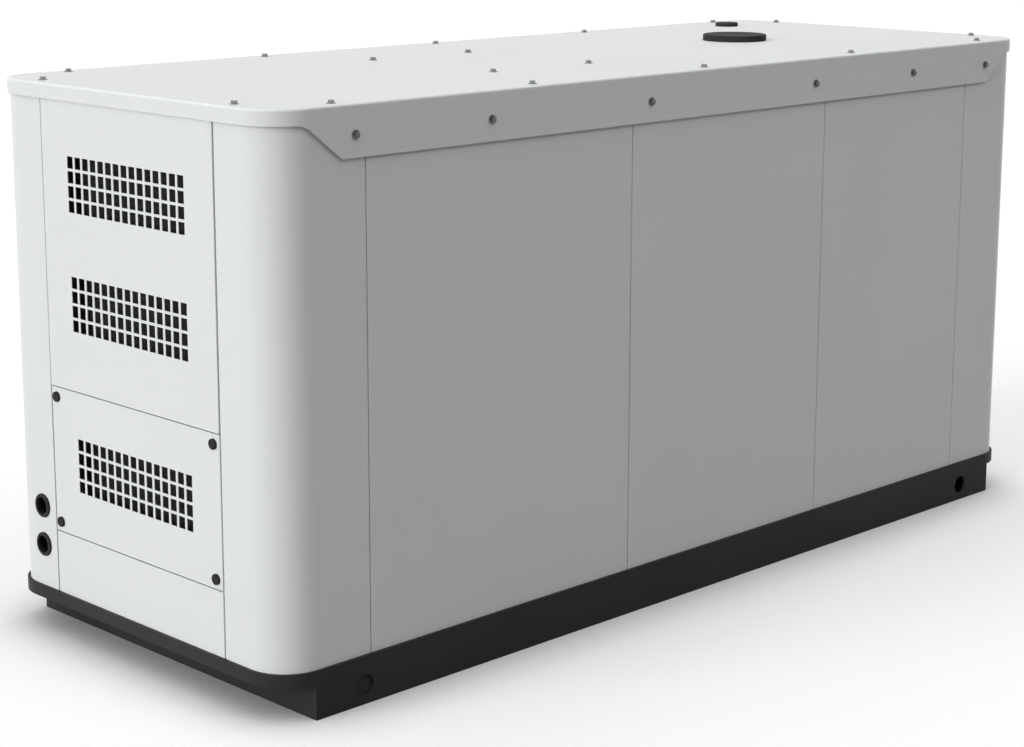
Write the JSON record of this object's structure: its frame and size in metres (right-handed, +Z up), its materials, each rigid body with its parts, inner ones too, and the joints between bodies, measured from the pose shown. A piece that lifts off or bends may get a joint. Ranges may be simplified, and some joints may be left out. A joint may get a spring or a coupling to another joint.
{
  "type": "standby diesel generator",
  "caption": "Long sheet-metal generator enclosure with rounded corners, vented ends and a skirted lift-off roof, on a black skid base with lifting holes.",
  "frame": {"origin": "on the ground under the middle of the enclosure", "axes": "+X along the length away from the cable-entry end, +Y across towards the back, +Z up"},
  "size_m": [2.474, 0.942, 1.205],
  "materials": {
    "enclosure_paint": "pale grey satin powder coat with a fine texture",
    "base_black": "black satin powder coat",
    "zinc_steel": "dull zinc-plated steel",
    "baffle_dark": "matt dark lining",
    "black_plastic": "black moulded plastic with a fine grain",
    "grommet_rubber": "black moulded rubber"
  },
  "bodies": {
    "root": {"skid_rail_front": "base_black", "skid_rail_back": "base_black", "skid_end_member_left": "base_black", "skid_end_member_right": "base_black", "skid_crossmember_left": "base_black", "skid_crossmember_right": "base_black", "lift_hole_cover_front": "base_black", "lift_hole_cover_back": "base_black", "base_tray": "base_black", "corner_post_front_left": "enclosure_paint", "corner_post_front_right": "enclosure_paint", "corner_post_back_left": "enclosure_paint", "corner_post_back_right": "enclosure_paint", "front_panel_left": "enclosure_paint", "front_panel_middle": "enclosure_paint", "front_panel_right": "enclosure_paint", "back_panel_left": "enclosure_paint", "back_panel_middle": "enclosure_paint", "back_panel_right": "enclosure_paint", "left_end_upper_panel": "enclosure_paint", "left_end_access_panel": "enclosure_paint", "left_end_lower_panel": "enclosure_paint", "right_end_upper_panel": "enclosure_paint", "right_end_access_panel": "enclosure_paint", "right_end_lower_panel": "enclosure_paint", "roof": "enclosure_paint", "front_stiles": "zinc_steel", "back_stiles": "zinc_steel", "left_end_stiles": "zinc_steel", "right_end_stiles": "zinc_steel", "left_end_baffle": "baffle_dark", "right_end_baffle": "baffle_dark", "left_access_knobs": "black_plastic", "right_access_knobs": "black_plastic", "exhaust_cap": "black_plastic", "filler_cap": "black_plastic", "upper_cable_grommet": "grommet_rubber", "lower_cable_grommet": "grommet_rubber"}
  },
  "joints": []
}
